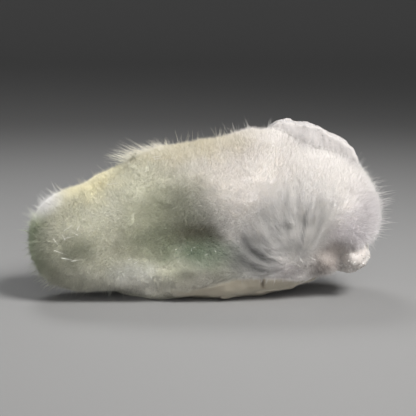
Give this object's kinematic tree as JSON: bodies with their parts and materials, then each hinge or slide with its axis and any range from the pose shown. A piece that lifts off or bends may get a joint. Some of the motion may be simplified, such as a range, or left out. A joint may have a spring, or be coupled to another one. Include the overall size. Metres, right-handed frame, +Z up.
{
  "type": "okenite puffball",
  "caption": "Felted mass of fine white okenite needles grown into a long puffball, on a pale crust that backs it and lies under it.",
  "frame": {"origin": "centre of the specimen's box, on the surface that it rests on", "axes": "+X along the specimen towards its round white ball, +Y towards its back, +Z up"},
  "size_m": [0.0384, 0.02, 0.0186],
  "materials": {
    "okenite_fibre": "soft felt of hair-fine needles, matt, with a faint greenish cast at one end",
    "pale_crust": "compact pale crust, finely granular, slightly glassy on its knob"
  },
  "bodies": {
    "root": {"puffball": "okenite_fibre", "crust": "pale_crust"}
  },
  "joints": []
}
